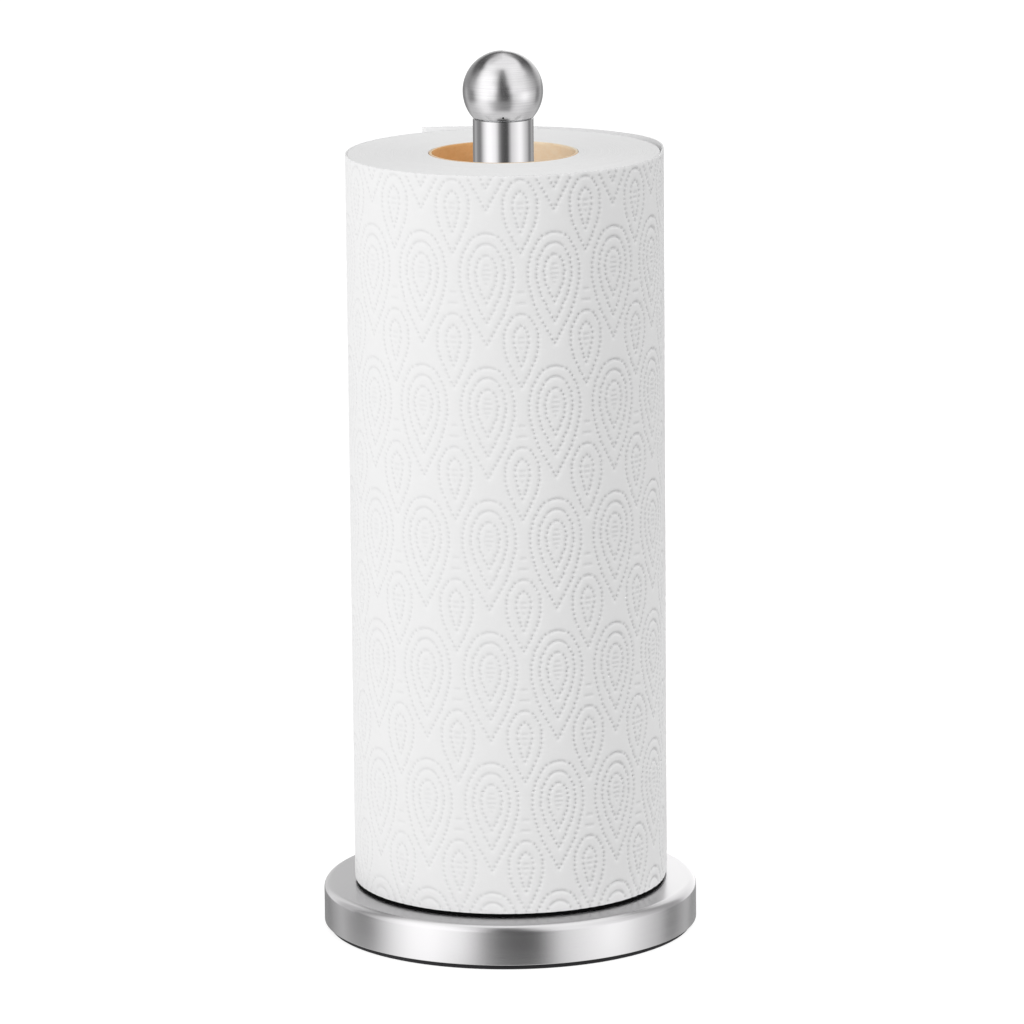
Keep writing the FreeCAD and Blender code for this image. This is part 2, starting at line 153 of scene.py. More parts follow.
STUDIO_TOP = [
    (-180, 0.65), (-155, 0.56), (-132, 0.56), (-110, 0.72), (-81, 0.87), (-62, 0.84), (-42, 0.72),
    (-20, 0.45), (-8, 0.24), (4, 0.24), (12, 0.46), (22, 0.67), (42, 0.80), (62, 0.84), (81, 0.81),
    (110, 0.78), (132, 0.76), (155, 0.74), (180, 0.74),
]
STUDIO_FLOOR_TONE, STUDIO_CEILING_TONE = 0.58, 0.78
# Each layer with the rise of the way, from -1 down to 1 up, at which it starts and is complete.
STUDIO_LAYERS = [
    (STUDIO_DEEP, -0.88, -0.72), (STUDIO_LOW, -0.50, -0.25), (STUDIO_EYE, -0.10, 0.08),
    (STUDIO_RISE, 0.24, 0.48), (STUDIO_HIGH, 0.52, 0.68), (STUDIO_TOP, 0.70, 0.86),
]
CEILING_START, CEILING_END = 0.90, 0.98
STUDIO_GAIN = 2.0

# Even light for matt surfaces: brighter toward the slant's azimuth above the horizon, darker below it.
FILL_LEVEL, FILL_SLANT, FILL_SLANT_AZIMUTH, FILL_HORIZON = 0.73, 0.70, math.radians(50), 0.2


def azimuth_turn(tree, x, y):
    """The azimuth of a way or place as a share of a turn: 0.5 toward the front, 0.75 to the right."""
    azimuth = maths(tree, "ARCTAN2", x, maths(tree, "MULTIPLY", y, -1.0))
    return maths(tree, "ADD", maths(tree, "DIVIDE", azimuth, 2 * math.pi), 0.5)


def azimuth_ramp(tree, turn, stops):
    """A colour ramp over a whole turn of azimuth."""
    made = node(tree, "ShaderNodeValToRGB", {0: turn})
    ramp = made.color_ramp
    ramp.interpolation = "LINEAR"
    places = [(0.5 + azimuth / 360.0, value) for azimuth, value in stops]
    ramp.elements[0].position, ramp.elements[0].color = places[0][0], grey(places[0][1])
    ramp.elements[1].position, ramp.elements[1].color = places[-1][0], grey(places[-1][1])
    for place, value in places[1:-1]:
        ramp.elements.new(place).color = grey(value)
    return made.outputs["Color"]


def blend_tones(tree, amount, first, second):
    """The first colour turning into the second by amount; each is a socket or a plain colour."""
    made = node(tree, "ShaderNodeMix", data_type="RGBA")
    tree.links.new(amount, made.inputs[0])
    for socket, value in ((made.inputs[6], first), (made.inputs[7], second)):
        if isinstance(value, bpy.types.NodeSocket):
            tree.links.new(value, socket)
        else:
            socket.default_value = value
    return made.outputs[2]


def make_studio():
    """White to look at, an even fill for matt surfaces, and soft boxes and dark flags for metal."""
    world = bpy.data.worlds.new("studio")
    bpy.context.scene.world = world
    world.use_nodes = True
    world.cycles.sampling_method = "NONE"
    tree = world.node_tree
    tree.nodes.clear()
    way = node(tree, "ShaderNodeTexCoord").outputs["Generated"]
    side, depth, rise = node(tree, "ShaderNodeSeparateXYZ", {0: way}).outputs
    turn = azimuth_turn(tree, side, depth)
    tone = grey(STUDIO_FLOOR_TONE)
    for stops, start, end in STUDIO_LAYERS:
        layer = azimuth_ramp(tree, turn, stops)
        tone = blend_tones(tree, remap(tree, rise, start, end, 0, 1, True), tone, layer)
    above = remap(tree, rise, CEILING_START, CEILING_END, 0, 1, True)
    tone = blend_tones(tree, above, tone, grey(STUDIO_CEILING_TONE))
    path = node(tree, "ShaderNodeLightPath").outputs
    mirror = node(tree, "ShaderNodeBackground", {"Color": tone, "Strength": STUDIO_GAIN}).outputs[0]
    lean = maths(tree, "SUBTRACT", maths(tree, "MULTIPLY", side, math.sin(FILL_SLANT_AZIMUTH)),
                 maths(tree, "MULTIPLY", depth, math.cos(FILL_SLANT_AZIMUTH)))
    upward = remap(tree, rise, -FILL_HORIZON, FILL_HORIZON, -FILL_SLANT, FILL_SLANT, True)
    level = maths(tree, "ADD", maths(tree, "MULTIPLY", lean, upward), FILL_LEVEL)
    fill = node(tree, "ShaderNodeBackground", {"Color": grey(1.0), "Strength": level}).outputs[0]
    seen = node(tree, "ShaderNodeBackground", {"Color": grey(1.0), "Strength": 1.0}).outputs[0]
    light = node(tree, "ShaderNodeMixShader", {0: path["Is Glossy Ray"], 1: fill, 2: mirror}).outputs[0]
    shown = node(tree, "ShaderNodeMixShader", {0: path["Is Camera Ray"], 1: light, 2: seen}).outputs[0]
    node(tree, "ShaderNodeOutputWorld", {"Surface": shown})


LIGHTS = {
    "key": {"azimuth": -53, "elevation": 26, "distance": 2.2, "size": 0.9, "power": 14.6, "aim": 0.16},
    "kick": {"azimuth": 62, "elevation": 2, "distance": 0.27, "size": 0.10, "power": 0.022, "aim": 0.06},
}


def make_light(name, azimuth, elevation, distance, size, power, aim):
    """A square soft light that points at height aim on the axis of the post; metal does not mirror it."""
    data = bpy.data.lights.new(name, "AREA")
    data.shape = "SQUARE"
    data.size = size
    data.energy = power
    light = bpy.data.objects.new(name, data)
    bpy.context.scene.collection.objects.link(light)
    turn, tilt = math.radians(azimuth), math.radians(elevation)
    way = Vector((
        math.sin(turn) * math.cos(tilt), -math.cos(turn) * math.cos(tilt), math.sin(tilt),
    ))
    light.location = Vector((0.0, 0.0, aim)) + way * distance
    light.rotation_mode = "QUATERNION"
    light.rotation_quaternion = (-way).to_track_quat("-Z", "Y")
    light.visible_camera = False
    light.visible_glossy = False


FLOOR_HALF, FLOOR_MATT, FLOOR_GLOW = 12.0, 0.42, 0.80


def make_floor():
    """A plain pale floor that takes the holder's shadow; metal doesn't mirror it."""
    mesh = bpy.data.meshes.new("floor")
    corners = [(FLOOR_HALF * x, FLOOR_HALF * y, 0.0) for x, y in ((-1, -1), (1, -1), (1, 1), (-1, 1))]
    mesh.from_pydata(corners, [], [(0, 1, 2, 3)])
    floor = bpy.data.objects.new("floor", mesh)
    bpy.context.scene.collection.objects.link(floor)
    material = bpy.data.materials.new("floor_white")
    material.use_nodes = True
    tree = material.node_tree
    tree.nodes.clear()
    matt = node(tree, "ShaderNodeBsdfDiffuse", {"Color": grey(FLOOR_MATT)}).outputs[0]
    glow = node(tree, "ShaderNodeEmission", {"Color": grey(1.0), "Strength": FLOOR_GLOW}).outputs[0]
    shown = node(tree, "ShaderNodeAddShader", {0: matt, 1: glow}).outputs[0]
    node(tree, "ShaderNodeOutputMaterial", {"Surface": shown})
    mesh.materials.append(material)
    floor.visible_glossy = False
    floor.visible_diffuse = False


CARD_RADIUS, CARD_HIGH, CARD_FADE = 0.13, 0.17, 0.08
CARD_START, CARD_STEP = 84, 4
CARD_TONES = [
    (-180, 0.80), (-150, 0.80), (-124, 0.90), (-112, 1.20), (-104, 1.20), (-96, 0.85), (-84, 0.85),
    (84, 0.55), (96, 0.62), (104, 1.25), (120, 1.45), (150, 1.50), (180, 1.50),
]


def make_card():
    """A low curved card behind the base, fading out toward its top; only polished metal sees it."""
    azimuths = np.radians(np.arange(CARD_START, 360 - CARD_START + 1, CARD_STEP))
    ring = [(math.sin(a) * CARD_RADIUS, -math.cos(a) * CARD_RADIUS) for a in azimuths]
    mesh = bpy.data.meshes.new("card")
    count = len(ring)
    mesh.from_pydata(
        [(x, y, 0.0) for x, y in ring] + [(x, y, CARD_HIGH) for x, y in ring], [],
        [(i, i + 1, count + i + 1, count + i) for i in range(count - 1)],
    )
    card = bpy.data.objects.new("card", mesh)
    bpy.context.scene.collection.objects.link(card)
    material = bpy.data.materials.new("card_glow")
    material.use_nodes = True
    tree = material.node_tree
    tree.nodes.clear()
    place = node(tree, "ShaderNodeTexCoord").outputs["Object"]
    x, y, z = node(tree, "ShaderNodeSeparateXYZ", {0: place}).outputs
    tone = azimuth_ramp(tree, azimuth_turn(tree, x, y), CARD_TONES)
    glow = node(tree, "ShaderNodeEmission", {"Color": tone, "Strength": 1.0}).outputs[0]
    clear = node(tree, "ShaderNodeBsdfTransparent").outputs[0]
    gone = remap(tree, z, CARD_FADE, CARD_HIGH, 0.0, 1.0, True)
    shown = node(tree, "ShaderNodeMixShader", {0: gone, 1: glow, 2: clear}).outputs[0]
    node(tree, "ShaderNodeOutputMaterial", {"Surface": shown})
    mesh.materials.append(material)
    card.visible_camera = False
    card.visible_diffuse = False
    card.visible_shadow = False
    card.visible_transmission = False


make_studio()
make_card()
for light_name, light_facts in LIGHTS.items():
    make_light(light_name, **light_facts)
make_floor()
bpy.context.scene.view_settings.view_transform = "Standard"


# ---------------------------------------------------------------- mesh helpers


def rounded(corners, steps=6):
    """A closed outline through (radius, height, rounding) corners, in mm, as (radius, height) points."""
    points = []
    for index, (r, z, rounding) in enumerate(corners):
        here = Vector((r, z))
        if rounding <= 0:
            points.append((r, z))
            continue
        before = Vector(corners[index - 1][:2]) - here
        after = Vector(corners[(index + 1) % len(corners)][:2]) - here
        before.normalize()
        after.normalize()
        half = before.angle(after) / 2
        reach = rounding / math.tan(half)
        centre = here + (before + after).normalized() * (rounding / math.sin(half))
        start = here + before * reach - centre
        sweep = math.pi - 2 * half
        sign = 1.0 if start.x * after.y - start.y * after.x > 0 else -1.0
        for step in range(steps + 1):
            angle = sign * sweep * step / steps
            turned = Matrix.Rotation(angle, 2) @ start
            points.append((centre.x + turned.x, centre.y + turned.y))
    return points


def finish_piece(name, mesh, body, material, nodes, sharp=35):
    """Links the mesh as a piece that rides on body and stands for the CAD nodes."""
    for polygon in mesh.polygons:
        polygon.use_smooth = True
    mesh.set_sharp_from_angle(angle=math.radians(sharp))
    mesh.materials.append(material)
    piece = bpy.data.objects.new(name, mesh)
    bpy.context.scene.collection.objects.link(piece)
    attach(piece, body)
    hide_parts(*nodes)
    return piece


def revolve(name, outline, segments, closed=True):
    """A mesh of the outline (mm) turned round the Z axis. An open outline starts and ends on the axis."""
    model = bmesh.new()
    rings = []
    for r, z in outline:
        if r < 1e-6:
            rings.append([model.verts.new((0, 0, z * MM))])
            continue
        ring = []
        for step in range(segments):
            angle = 2 * math.pi * step / segments
            ring.append(model.verts.new((r * MM * math.cos(angle), r * MM * math.sin(angle), z * MM)))
        rings.append(ring)
    pairs = list(zip(rings, rings[1:] + rings[:1])) if closed else list(zip(rings, rings[1:]))
    for low, high in pairs:
        for step in range(segments):
            after = (step + 1) % segments
            if len(low) == 1:
                model.faces.new((low[0], high[after], high[step]))
            elif len(high) == 1:
                model.faces.new((low[step], low[after], high[0]))
            else:
                model.faces.new((low[step], low[after], high[after], high[step]))
    bmesh.ops.recalc_face_normals(model, faces=model.faces)
    mesh = bpy.data.meshes.new(name)
    model.to_mesh(mesh)
    model.free()
    return mesh


# ---------------------------------------------------------------- materials


def new_surface(name, **inputs):
    """A node material and its tree and Principled shader, with the shader's plain inputs set."""
    material = bpy.data.materials.new(name)
    material.use_nodes = True
    tree = material.node_tree
    shader = tree.nodes["Principled BSDF"]
    for key, value in inputs.items():
        shader.inputs[key.replace("_", " ")].default_value = value
    return material, tree, shader


def turned_coordinates(tree, drift=0.012):
    """Coordinates that change fully across the rings round Z and by a share, drift, along them."""
    place = node(tree, "ShaderNodeTexCoord").outputs["Object"]
    x, y, z = node(tree, "ShaderNodeSeparateXYZ", {0: place}).outputs
    level = node(tree, "ShaderNodeCombineXYZ", {0: x, 1: y}).outputs[0]
    radius = node(tree, "ShaderNodeVectorMath", {0: level}, operation="LENGTH").outputs["Value"]
    along = maths(tree, "MULTIPLY", maths(tree, "ADD", x, y), drift)
    return node(tree, "ShaderNodeCombineXYZ", {0: radius, 1: z, 2: along}).outputs[0]


def noise(tree, vector, scale, detail=3.0, rough=0.5):
    """The grey value of one Noise texture."""
    return node(tree, "ShaderNodeTexNoise", {
        "Vector": vector, "Scale": scale, "Detail": detail, "Roughness": rough,
    }).outputs["Fac"]


def bump(tree, shader, height, strength, distance, under=None):
    """Bumps the shader by height, on top of the bump called under, and returns the new normal."""
    inputs = {"Height": height, "Strength": strength, "Distance": distance}
    if under is not None:
        inputs["Normal"] = under
    made = node(tree, "ShaderNodeBump", inputs)
    tree.links.new(made.outputs["Normal"], shader.inputs["Normal"])
    return made.outputs["Normal"]


def tint(tree, shader, amount, dark, light):
    """Base colour between two colours by amount."""
    tree.links.new(blend_tones(tree, amount, (*dark, 1.0), (*light, 1.0)), shader.inputs["Base Color"])


def brushed_steel(name, rough, spread, stretch, line_bump, line_tone):
    """Stainless steel finished in fine rings round Z; line_tone is how much the lines show in its colour."""
    material, tree, shader = new_surface(
        name, Metallic=1.0, Anisotropic=stretch, Anisotropic_Rotation=0.25
    )
    rings = turned_coordinates(tree)
    fine = noise(tree, rings, 9000.0, 2.0)
    lines = noise(tree, rings, 2600.0, 2.0)
    broad = noise(tree, rings, 500.0, 2.0)
    cloud = noise(tree, node(tree, "ShaderNodeTexCoord").outputs["Object"], 60.0, 3.0)
    mixed = maths(tree, "ADD", maths(tree, "MULTIPLY", lines, 0.65), maths(tree, "MULTIPLY", broad, 0.35))
    tone = remap(tree, mixed, 0.25, 0.75, 0, 1)
    dark, light = 0.50 - line_tone, 0.50 + line_tone
    tint(tree, shader, tone, (dark * 1.01, dark * 0.985, dark * 1.015), (light, light, light))
    grain = maths(tree, "ADD", maths(tree, "MULTIPLY", mixed, 0.8), maths(tree, "MULTIPLY", cloud, 0.2))
    tree.links.new(remap(tree, grain, 0.3, 0.7, rough - spread, rough + spread), shader.inputs["Roughness"])
    under = bump(tree, shader, lines, line_bump, 0.00003)
    bump(tree, shader, fine, line_bump, 0.00002, under)
    tangent = node(tree, "ShaderNodeTangent", direction_type="RADIAL", axis="Z")
    tree.links.new(tangent.outputs[0], shader.inputs["Tangent"])
    return material


def plated_steel():
    """Zinc plating on the hardware, slightly cloudy."""
    material, tree, shader = new_surface("zinc_plate", Metallic=1.0)
    place = node(tree, "ShaderNodeTexCoord").outputs["Object"]
    cloud = noise(tree, place, 400.0, 4.0)
    tint(tree, shader, cloud, (0.42, 0.43, 0.45), (0.62, 0.63, 0.64))
    tree.links.new(remap(tree, cloud, 0.3, 0.7, 0.28, 0.42), shader.inputs["Roughness"])
    bump(tree, shader, noise(tree, place, 1800.0, 2.0), 0.15, 0.00005)
    return material


def cast_iron():
    """Black iron with a coarse cast skin."""
    material, tree, shader = new_surface("cast_iron_rough", Metallic=0.6)
    place = node(tree, "ShaderNodeTexCoord").outputs["Object"]
    cloud = noise(tree, place, 150.0, 5.0)
    tint(tree, shader, cloud, (0.035, 0.034, 0.033), (0.10, 0.10, 0.10))
    tree.links.new(remap(tree, cloud, 0.3, 0.7, 0.6, 0.8), shader.inputs["Roughness"])
    bump(tree, shader, noise(tree, place, 900.0, 4.0), 0.6, 0.0002)
    return material


def rubber(name, dark, light, rough, specular=0.3):
    """Matt black rubber with a fine speckle."""
    material, tree, shader = new_surface(name, Specular_IOR_Level=specular)
    place = node(tree, "ShaderNodeTexCoord").outputs["Object"]
    speckle = noise(tree, place, 1500.0, 3.0, 0.6)
    tint(tree, shader, speckle, dark, light)
    tree.links.new(remap(tree, speckle, 0.3, 0.7, rough - 0.06, rough + 0.06), shader.inputs["Roughness"])
    bump(tree, shader, noise(tree, place, 3000.0, 2.0), 0.25, 0.00008)
    return material


def paper(name, fibre_bump, pit_shade_tone=0.0):
    """Soft white tissue with fine fibres and a faint cloudiness; the pressed marks get painted shade, darker
    by how hard they are pressed.
    """
    material, tree, shader = new_surface(name, Specular_IOR_Level=0.12)
    place = node(tree, "ShaderNodeTexCoord").outputs["Object"]
    cloud = noise(tree, place, 260.0, 4.0, 0.6)
    fibres = noise(tree, place, 2200.0, 3.0, 0.65)
    mixed = maths(tree, "ADD", maths(tree, "MULTIPLY", cloud, 0.5), maths(tree, "MULTIPLY", fibres, 0.5))
    tone = blend_tones(tree, mixed, (0.858, 0.858, 0.860, 1.0), (0.908, 0.907, 0.908, 1.0))
    # Painted shade in the pits: the colour turns toward grey by the pressed attribute.
    if pit_shade_tone:
        pressed = node(tree, "ShaderNodeAttribute", attribute_name="pressed").outputs["Fac"]
        depth = maths(tree, "MULTIPLY", pressed, pit_shade_tone)
        tone = blend_tones(tree, depth, tone, (0.45, 0.45, 0.46, 1.0))
    tree.links.new(tone, shader.inputs["Base Color"])
    tree.links.new(remap(tree, fibres, 0.3, 0.7, 0.88, 0.98), shader.inputs["Roughness"])
    under = bump(tree, shader, cloud, fibre_bump * 0.5, 0.0003)
    bump(tree, shader, fibres, fibre_bump, 0.00008, under)
    return material


# Painted light: the board is painted paler on its right-back half, where the key light falls on the inner
# wall of the bore.
LIT_SIDE_AZIMUTH, LIT_SIDE_START, LIT_SIDE_END = math.radians(50), 0.011, 0.023


def cardboard(name, dark, light, lit_side_dark, lit_side_light):
    """Core board with fibres that run round the tube; its right-back half, where the key light falls on the
    inside of the bore, is painted paler as painted light.
    """
    material, tree, shader = new_surface(name, Specular_IOR_Level=0.15)
    place = node(tree, "ShaderNodeTexCoord").outputs["Object"]
    stretched = node(tree, "ShaderNodeMapping", {"Vector": place, "Scale": (0.5, 0.5, 1.0)}).outputs[0]
    fibres = noise(tree, stretched, 900.0, 4.0, 0.65)
    cloud = noise(tree, place, 90.0, 3.0)
    mixed = maths(tree, "ADD", maths(tree, "MULTIPLY", cloud, 0.4), maths(tree, "MULTIPLY", fibres, 0.6))
    grain = remap(tree, mixed, 0.25, 0.75, 0, 1)
    x, y, z = node(tree, "ShaderNodeSeparateXYZ", {0: place}).outputs
    across = maths(tree, "MULTIPLY", x, math.cos(LIT_SIDE_AZIMUTH))
    side = maths(tree, "ADD", across, maths(tree, "MULTIPLY", y, math.sin(LIT_SIDE_AZIMUTH)))
    # Mask of the painted light: 0 on the shaded side, 1 on the right-back side that the key light falls on.
    pale = remap(tree, side, LIT_SIDE_START, LIT_SIDE_END, 0, 1, True)
    plain_tone = blend_tones(tree, grain, (*dark, 1.0), (*light, 1.0))
    lit_side_tone = blend_tones(tree, grain, (*lit_side_dark, 1.0), (*lit_side_light, 1.0))
    tree.links.new(blend_tones(tree, pale, plain_tone, lit_side_tone), shader.inputs["Base Color"])
    tree.links.new(remap(tree, fibres, 0.3, 0.7, 0.78, 0.92), shader.inputs["Roughness"])
    bump(tree, shader, fibres, 0.3, 0.00015)
    return material


steel_base = brushed_steel("steel_spun", 0.215, 0.03, 0.45, 0.10, 0.008)
steel_post = brushed_steel("steel_tube", 0.12, 0.02, 0.40, 0.06, 0.006)
steel_ball = brushed_steel("steel_ball", 0.17, 0.04, 0.55, 0.12, 0.045)
zinc = plated_steel()
iron = cast_iron()
pad_rubber = rubber("rubber_foot", (0.013, 0.013, 0.014), (0.022, 0.021, 0.024), 0.74)
# The seat rubber is near-zero black, far darker than the foot's rubber: a real rubber ring coloured as
# painted shade for the shadow gap under the roll.
seat_shade_black = rubber("rubber_seat_shade_black", (0.0012, 0.0012, 0.0013), (0.0032, 0.0032, 0.0034), 0.90, 0.06)
tissue = paper("tissue_embossed", 0.35, 0.30)
tissue_edge = paper("tissue_edge", 0.45)
# The third and fourth colours of each board are its paler, painted-light colours on the right-back half.
board = cardboard(
    "core_board", (0.70, 0.36, 0.13), (0.82, 0.48, 0.22), (0.90, 0.72, 0.48), (0.96, 0.86, 0.68))
board_cut = cardboard(
    "core_board_cut", (0.74, 0.56, 0.38), (0.84, 0.70, 0.52), (0.86, 0.76, 0.60), (0.92, 0.84, 0.70))


# ---------------------------------------------------------------- round pieces


def extent(node_name):
    """A round CAD node's outside radius, lowest level and highest level, in mm."""
    low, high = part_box(node_name)
    return high.x / MM, low.z / MM, high.z / MM


SHEET_METAL = 0.8
BASE_RADIUS, SHELL_LOW, BASE_TOP = extent("base_shell")
SHELL_HOLE, SHELL_ROUND, SHELL_RIM_ROUND = 4.25, 3.0, 0.25
POST_RADIUS, POST_LOW, POST_TOP = extent("post_tube")
BALL_RADIUS, BALL_FLAT, BALL_TOP = extent("finial_ball")
BALL_CENTRE = BALL_TOP - BALL_RADIUS
BOSS_RADIUS = extent("ball_boss")[0]
FOOT_PAD_RADIUS, FOOT_PAD_LOW, FOOT_PAD_TOP = extent("non_slip_pad")
FOOT_PAD_HOLE = 13.0
SEAT_PAD_RADIUS, SEAT_PAD_LOW, SEAT_PAD_TOP = extent("roll_pad")
SEAT_PAD_HOLE = 13.5

shell = revolve("base_shell_spun", rounded([
    (SHELL_HOLE, BASE_TOP, 0.0),
    (BASE_RADIUS, BASE_TOP, SHELL_ROUND),
    (BASE_RADIUS, SHELL_LOW, SHELL_RIM_ROUND),
    (BASE_RADIUS - SHEET_METAL, SHELL_LOW, SHELL_RIM_ROUND),
    (BASE_RADIUS - SHEET_METAL, BASE_TOP - SHEET_METAL, SHELL_ROUND - SHEET_METAL),
    (SHELL_HOLE, BASE_TOP - SHEET_METAL, 0.0),
], 10), 256)
finish_piece("base_shell_spun", shell, "holder", steel_base, ["base_shell"])

tube = revolve("post_tube_drawn", rounded([
    (POST_RADIUS, POST_LOW, 0.0),
    (POST_RADIUS, POST_TOP, 0.2),
    (POST_RADIUS - SHEET_METAL, POST_TOP, 0.15),
    (POST_RADIUS - SHEET_METAL, POST_LOW, 0.0),
], 4), 192)
post_piece = finish_piece("post_tube_drawn", tube, "holder", steel_post, ["post_tube"])


BALL_EDGE = 0.25


def ball_arc(radius, level, steps):
    """Points of the ball's half section at a radius from its centre, from the pole down to a level."""
    lowest = math.acos((level - BALL_CENTRE) / radius)
    polars = [lowest * step / steps for step in range(1, steps + 1)]
    pole = (0.0, BALL_CENTRE + radius)
    return [pole] + [(radius * math.sin(a), BALL_CENTRE + radius * math.cos(a)) for a in polars]


def ball_outline():
    """The hollow ball's half section, from its outer pole round the flat to its inner pole."""
    outside = ball_arc(BALL_RADIUS, BALL_FLAT + BALL_EDGE, 96)
    edge = outside[-1][0]
    flat = [
        (edge - 0.13, BALL_FLAT + 0.08), (edge - 0.30, BALL_FLAT),
        (BOSS_RADIUS, BALL_FLAT), (BOSS_RADIUS, BALL_FLAT + SHEET_METAL),
    ]
    inside = ball_arc(BALL_RADIUS - SHEET_METAL, BALL_FLAT + SHEET_METAL, 32)
    return outside + flat + inside[::-1]


def drill(mesh, centre, radius, depth):
    """Cuts a round hole along Y through the mesh, at centre (mm), and returns the new mesh."""
    cutter = bpy.data.meshes.new("drill")
    model = bmesh.new()
    turn = Matrix.Translation(Vector(centre) * MM) @ Matrix.Rotation(math.pi / 2, 4, "X")
    bmesh.ops.create_cone(
        model, cap_ends=True, segments=24, radius1=radius * MM, radius2=radius * MM, depth=depth * MM,
        matrix=turn,
    )
    model.to_mesh(cutter)
    model.free()
    solid = bpy.data.objects.new("drill_solid", mesh)
    tool = bpy.data.objects.new("drill_tool", cutter)
    for made in (solid, tool):
        bpy.context.scene.collection.objects.link(made)
    cut = solid.modifiers.new("cut", "BOOLEAN")
    cut.object, cut.operation, cut.solver = tool, "DIFFERENCE", "EXACT"
    bpy.context.view_layer.update()
    result = bpy.data.meshes.new_from_object(solid.evaluated_get(bpy.context.evaluated_depsgraph_get()))
    for made in (solid, tool):
        bpy.data.objects.remove(made)
    return result


VENT_RADIUS, VENT_LENGTH, VENT_LEVEL = 0.4, 5.0, BALL_FLAT + 1.3
VENT_REACH = math.sqrt(BALL_RADIUS ** 2 - (BALL_CENTRE - VENT_LEVEL) ** 2)
ball = revolve("finial_ball_spun", ball_outline(), 192, closed=False)
ball = drill(ball, (0, -VENT_REACH, VENT_LEVEL), VENT_RADIUS, VENT_LENGTH)
ball_piece = finish_piece("finial_ball_spun", ball, "holder", steel_ball, ["finial_ball"])

foot_pad = revolve("non_slip_pad_moulded", rounded([
    (FOOT_PAD_HOLE, FOOT_PAD_TOP, 0.0), (FOOT_PAD_RADIUS, FOOT_PAD_TOP, 0.2),
    (FOOT_PAD_RADIUS, FOOT_PAD_LOW, 0.4), (FOOT_PAD_HOLE, FOOT_PAD_LOW, 0.4),
], 5), 192)
finish_piece("non_slip_pad_moulded", foot_pad, "holder", pad_rubber, ["non_slip_pad"])

# The seat pad: a real rubber ring whose near-zero black is painted shade for the shadow gap under the roll.
seat_shade_ring = revolve("roll_pad_shade_black", rounded([
    (SEAT_PAD_HOLE, SEAT_PAD_TOP, 0.3), (SEAT_PAD_RADIUS, SEAT_PAD_TOP, 0.3),
    (SEAT_PAD_RADIUS, SEAT_PAD_LOW, 0.1), (SEAT_PAD_HOLE, SEAT_PAD_LOW, 0.1),
], 4), 192)
finish_piece("roll_pad_shade_black", seat_shade_ring, "holder", seat_shade_black, ["roll_pad"])


# ---------------------------------------------------------------- the roll

ROLL_LOW, ROLL_HIGH = extent("roll_paper")[1:]
WOUND_INNER, WOUND_OUTER, WOUND_LAYERS = 28.2, 58.6, 88
LAYER_UNEVEN, LAYER_GROOVE, WOUND_EDGE, WOUND_BEVEL = 0.07, 0.03, 0.6, 0.3
LAYERS_PER_LOW_POINT = 4


def wound_outline():
    """The wound paper's half section, with the edges of its layers standing a little unevenly."""
    step = (WOUND_OUTER - WOUND_INNER) / WOUND_LAYERS
    top = []
    for layer in range(WOUND_LAYERS):
        level = ROLL_HIGH - LAYER_UNEVEN * rng.random()
        for across, sink in ((0.12, LAYER_GROOVE), (0.5, 0.0), (0.88, LAYER_GROOVE)):
            top.append((WOUND_INNER + step * (layer + across), level - sink))
    outside = [
        (WOUND_OUTER, ROLL_HIGH - 0.25), (WOUND_OUTER, ROLL_LOW + WOUND_EDGE),
        (WOUND_OUTER - WOUND_EDGE * 0.3, ROLL_LOW + WOUND_EDGE * 0.3),
        (WOUND_OUTER - WOUND_EDGE, ROLL_LOW),
    ]
    low = [
        (WOUND_INNER + step * layer, ROLL_LOW)
        for layer in range(WOUND_LAYERS - 1, -1, -LAYERS_PER_LOW_POINT)
    ]
    return [
        (WOUND_INNER, ROLL_HIGH - WOUND_BEVEL), *top, *outside, *low, (WOUND_INNER, ROLL_LOW + WOUND_BEVEL),
    ]


wound = revolve("wound_paper", wound_outline(), 256)
wound_piece = finish_piece(
    "wound_paper", wound, "paper", tissue_edge, ["roll_paper"], sharp=60)

CORE_OUTER, CORE_WALL, CORE_BEVEL = extent("roll_core")[0], 0.9, 0.12
CORE_INNER = CORE_OUTER - CORE_WALL
CORE_COLUMNS, CORE_ROWS = 240, 280
SEAM_LEAD, SEAM_DEPTH, SEAM_REACH = 95.0, 0.16, 0.6
SEAM_LEAN = math.atan(SEAM_LEAD / (2 * math.pi * CORE_INNER))


